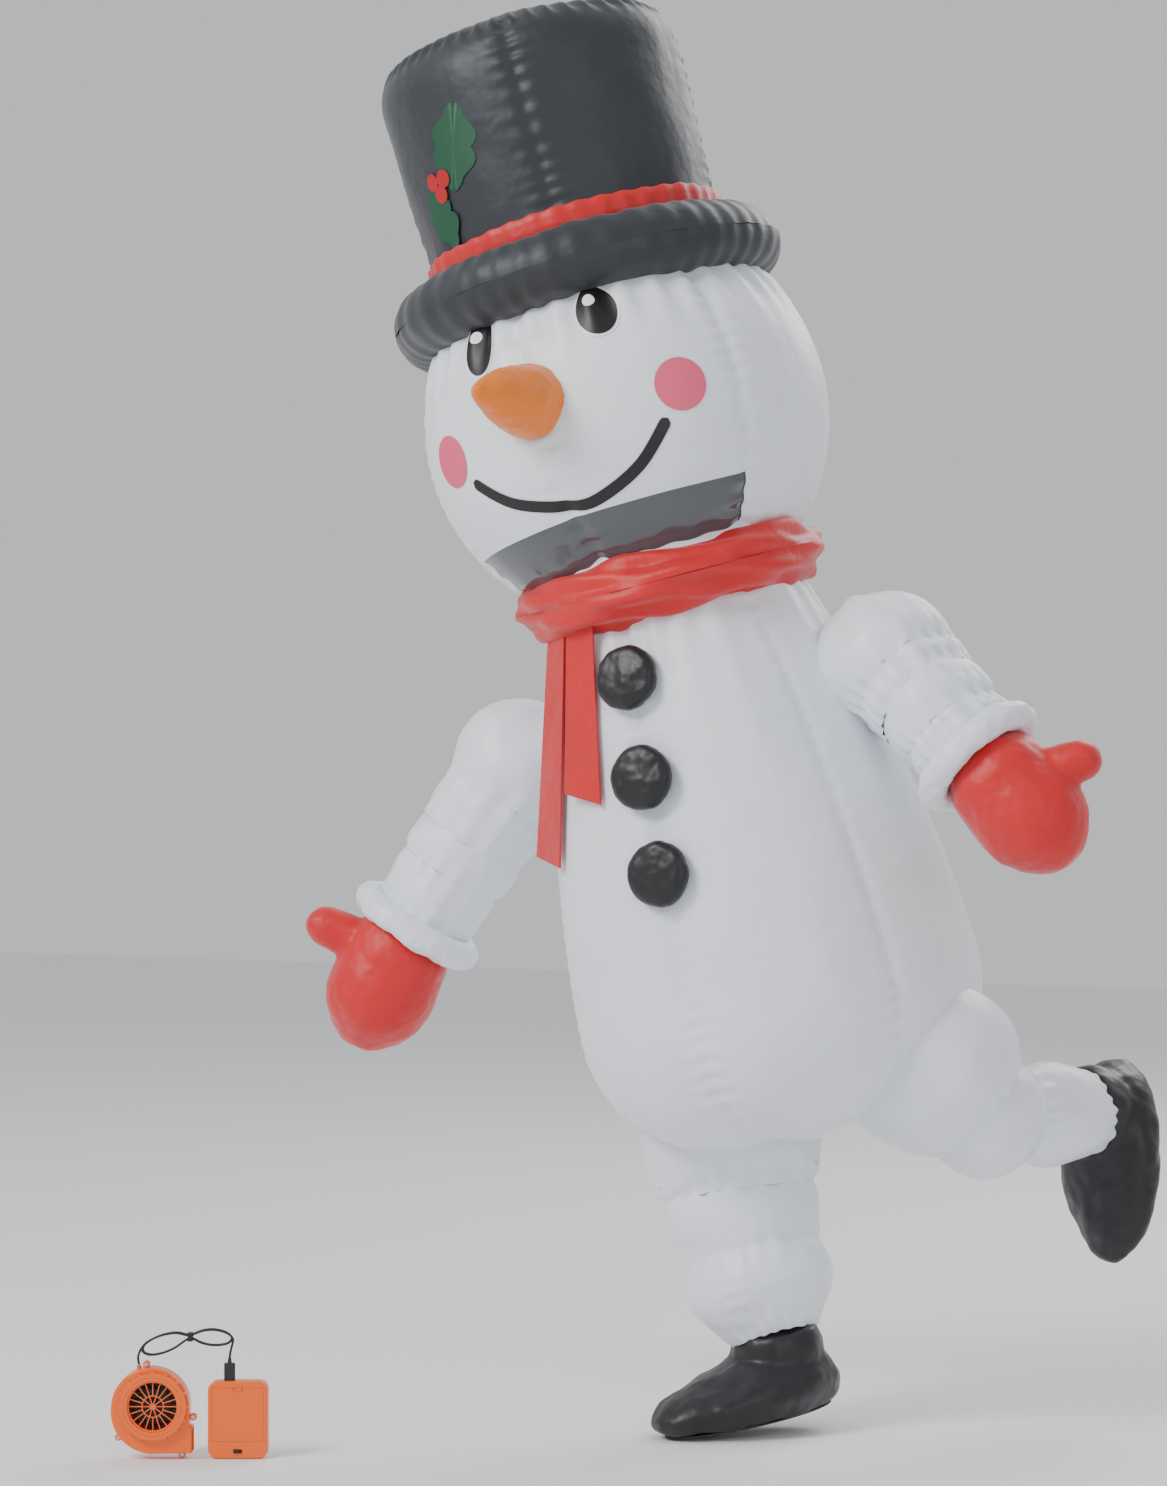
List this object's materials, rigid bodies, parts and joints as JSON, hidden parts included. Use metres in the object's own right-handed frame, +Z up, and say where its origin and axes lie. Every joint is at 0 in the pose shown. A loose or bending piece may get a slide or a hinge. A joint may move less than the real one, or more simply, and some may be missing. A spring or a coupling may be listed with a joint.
{
  "type": "wearable inflatable snowman costume",
  "caption": "Inflatable snowman costume with jointed limbs, top hat, scarf, clear face window, clamp-in blower and battery box.",
  "frame": {"origin": "on the floor, under the centre of the bounding box", "axes": "+Z up, -Y towards the figure's front, +X towards the figure's left"},
  "size_m": [1.3078, 1.0813, 2.1369],
  "materials": {
    "white_fabric": "thin coated polyester, slightly see-through",
    "black_fabric": "thin black polyester",
    "hat_fabric": "thin charcoal polyester",
    "red_fabric": "thin red polyester",
    "orange_fabric": "thin orange polyester",
    "clear_window": "clear flexible vinyl",
    "orange_plastic": "moulded orange plastic",
    "black_plastic": "moulded black plastic",
    "white_plastic": "white moulded plastic",
    "screw_steel": "plated steel",
    "cord_rubber": "soft black lead",
    "cell_wrap": "printed cell sleeve",
    "sole_rubber": "thin anti-slip sheet"
  },
  "bodies": {
    "figure": {"battery_case": "orange_plastic", "battery_cells": "cell_wrap", "blower_back": "orange_plastic", "blower_front": "orange_plastic", "coat_buttons": "black_fabric", "cord_fan_lead": "cord_rubber", "cord_hank": "cord_rubber", "cord_plug_lead": "cord_rubber", "fan_port_ring": "black_plastic", "hank_tie": "black_plastic", "housing_screws": "screw_steel", "inlet_grille": "orange_plastic", "motor": "screw_steel", "neck_band": "white_fabric", "scarf_ring": "red_fabric", "trunk_back_left": "white_fabric", "trunk_back_right": "white_fabric", "trunk_front_left": "white_fabric", "trunk_front_right": "white_fabric", "trunk_side_left": "white_fabric", "trunk_side_right": "white_fabric", "usb_plug": "black_plastic", "usb_plug_shell": "screw_steel", "zip_tape": "white_fabric"},
    "head": {"head_front_left": "white_fabric", "head_side_left": "white_fabric", "head_back_left": "white_fabric", "head_front_right": "white_fabric", "head_side_right": "white_fabric", "head_back_right": "white_fabric", "face_window": "clear_window", "carrot_nose": "orange_fabric", "hat_brim": "hat_fabric", "hat_crown_wall": "hat_fabric", "hat_crown_top": "hat_fabric", "hat_band": "red_fabric"},
    "upper_arm_left": {"sleeve_upper_left": "white_fabric"},
    "lower_arm_left": {"sleeve_lower_left": "white_fabric", "cuff_left": "red_fabric"},
    "hand_left": {"mitten_left": "red_fabric"},
    "thigh_left": {"leg_upper_left": "white_fabric"},
    "shin_left": {"leg_lower_left": "white_fabric"},
    "foot_left": {"boot_left": "black_fabric", "boot_sole_left": "sole_rubber"},
    "upper_arm_right": {"sleeve_upper_right": "white_fabric"},
    "lower_arm_right": {"sleeve_lower_right": "white_fabric", "cuff_right": "red_fabric"},
    "hand_right": {"mitten_right": "red_fabric"},
    "thigh_right": {"leg_upper_right": "white_fabric"},
    "shin_right": {"leg_lower_right": "white_fabric"},
    "foot_right": {"boot_right": "black_fabric", "boot_sole_right": "sole_rubber"},
    "tail_long": {"scarf_tail_long": "red_fabric"},
    "tail_short": {"scarf_tail_short": "red_fabric"},
    "fan_rotor": {"impeller": "black_plastic"},
    "clamp": {"clamp_ring": "orange_plastic"},
    "lid": {"battery_lid": "orange_plastic"},
    "switch": {"slide_switch": "black_plastic"},
    "slider": {"zip_slider": "black_plastic"}
  },
  "joints": [
    {"name": "head_nod", "type": "hinge", "parent": "figure", "child": "head", "pos_m": [-0.02638, 0.05441, 1.268], "axis": [0.9744, 0, 0.225], "range_deg": [-8, 8], "stiffness_Nm_per_rad": 12},
    {"name": "shoulder_left", "type": "hinge", "parent": "figure", "child": "upper_arm_left", "pos_m": [0.31177, 0.09026, 1.15917], "axis": [0.0255, -0.9936, -0.1103], "range_deg": [-5, 30], "stiffness_Nm_per_rad": 4},
    {"name": "elbow_left", "type": "hinge", "parent": "upper_arm_left", "child": "lower_arm_left", "pos_m": [0.40062, 0.06541, 1.083], "axis": [0, -1, 0], "range_deg": [-5, 25], "stiffness_Nm_per_rad": 2},
    {"name": "wrist_left", "type": "hinge", "parent": "lower_arm_left", "child": "hand_left", "pos_m": [0.51362, 0.05241, 0.974], "axis": [0, 1, 0], "range_deg": [-12, 12], "stiffness_Nm_per_rad": 1},
    {"name": "hip_left", "type": "hinge", "parent": "figure", "child": "thigh_left", "pos_m": [0.35968, 0.14384, 0.55156], "axis": [-0.9744, 0, -0.225], "range_deg": [-5, 20], "stiffness_Nm_per_rad": 6},
    {"name": "knee_left", "type": "hinge", "parent": "thigh_left", "child": "shin_left", "pos_m": [0.42662, 0.18841, 0.474], "axis": [-1, 0, 0], "range_deg": [0, 30], "stiffness_Nm_per_rad": 3},
    {"name": "ankle_left", "type": "hinge", "parent": "shin_left", "child": "foot_left", "pos_m": [0.50162, 0.43341, 0.464], "axis": [1, 0, 0], "range_deg": [-8, 8], "stiffness_Nm_per_rad": 1.5},
    {"name": "shoulder_right", "type": "hinge", "parent": "figure", "child": "upper_arm_right", "pos_m": [-0.29612, 0.07818, 0.99159], "axis": [-0.0255, 0.9936, 0.1103], "range_deg": [-3, 30], "stiffness_Nm_per_rad": 4},
    {"name": "elbow_right", "type": "hinge", "parent": "upper_arm_right", "child": "lower_arm_right", "pos_m": [-0.37738, 0.05141, 0.863], "axis": [0, 1, 0], "range_deg": [-5, 25], "stiffness_Nm_per_rad": 2},
    {"name": "wrist_right", "type": "hinge", "parent": "lower_arm_right", "child": "hand_right", "pos_m": [-0.47938, 0.02041, 0.697], "axis": [0, 1, 0], "range_deg": [-12, 12], "stiffness_Nm_per_rad": 1},
    {"name": "hip_right", "type": "hinge", "parent": "figure", "child": "thigh_right", "pos_m": [0.02676, 0.14893, 0.42881], "axis": [-0.9744, 0, -0.225], "range_deg": [-10, 10], "stiffness_Nm_per_rad": 6},
    {"name": "knee_right", "type": "hinge", "parent": "thigh_right", "child": "shin_right", "pos_m": [0.05262, 0.13841, 0.318], "axis": [1, 0, 0], "range_deg": [0, 20], "stiffness_Nm_per_rad": 3},
    {"name": "ankle_right", "type": "hinge", "parent": "shin_right", "child": "foot_right", "pos_m": [0.12162, 0.11341, 0.119], "axis": [1, 0, 0], "range_deg": [-8, 8], "stiffness_Nm_per_rad": 1.5},
    {"name": "tail_long_swing", "type": "hinge", "parent": "figure", "child": "tail_long", "pos_m": [-0.1372, -0.10609, 1.19707], "axis": [-0.7992, 0.601, 0], "range_deg": [0, 35]},
    {"name": "tail_short_swing", "type": "hinge", "parent": "figure", "child": "tail_short", "pos_m": [-0.08433, -0.13495, 1.2059], "axis": [-0.9365, 0.3506, 0], "range_deg": [0, 35]},
    {"name": "impeller_spin", "type": "hinge", "parent": "figure", "child": "fan_rotor", "pos_m": [-0.59238, -0.49559, 0.077], "axis": [0.4226, -0.9063, 0], "continuous": true},
    {"name": "clamp_turn", "type": "hinge", "parent": "figure", "child": "clamp", "pos_m": [-0.59238, -0.49559, 0.077], "axis": [0.4226, -0.9063, 0], "range_deg": [0, 60]},
    {"name": "lid_hinge", "type": "hinge", "parent": "figure", "child": "lid", "pos_m": [-0.47611, -0.45627, 0.025], "axis": [0.9063, 0.4226, 0], "range_deg": [0, 95]},
    {"name": "switch_slide", "type": "slide", "parent": "figure", "child": "switch", "axis": [0.9063, 0.4226, 0], "range_m": [0, 0.004]},
    {"name": "zip_run", "type": "hinge", "parent": "figure", "child": "slider", "pos_m": [0.19816, -1.9391, 0.2954], "axis": [-0.9744, 0, -0.225], "range_deg": [0, 10]}
  ]
}
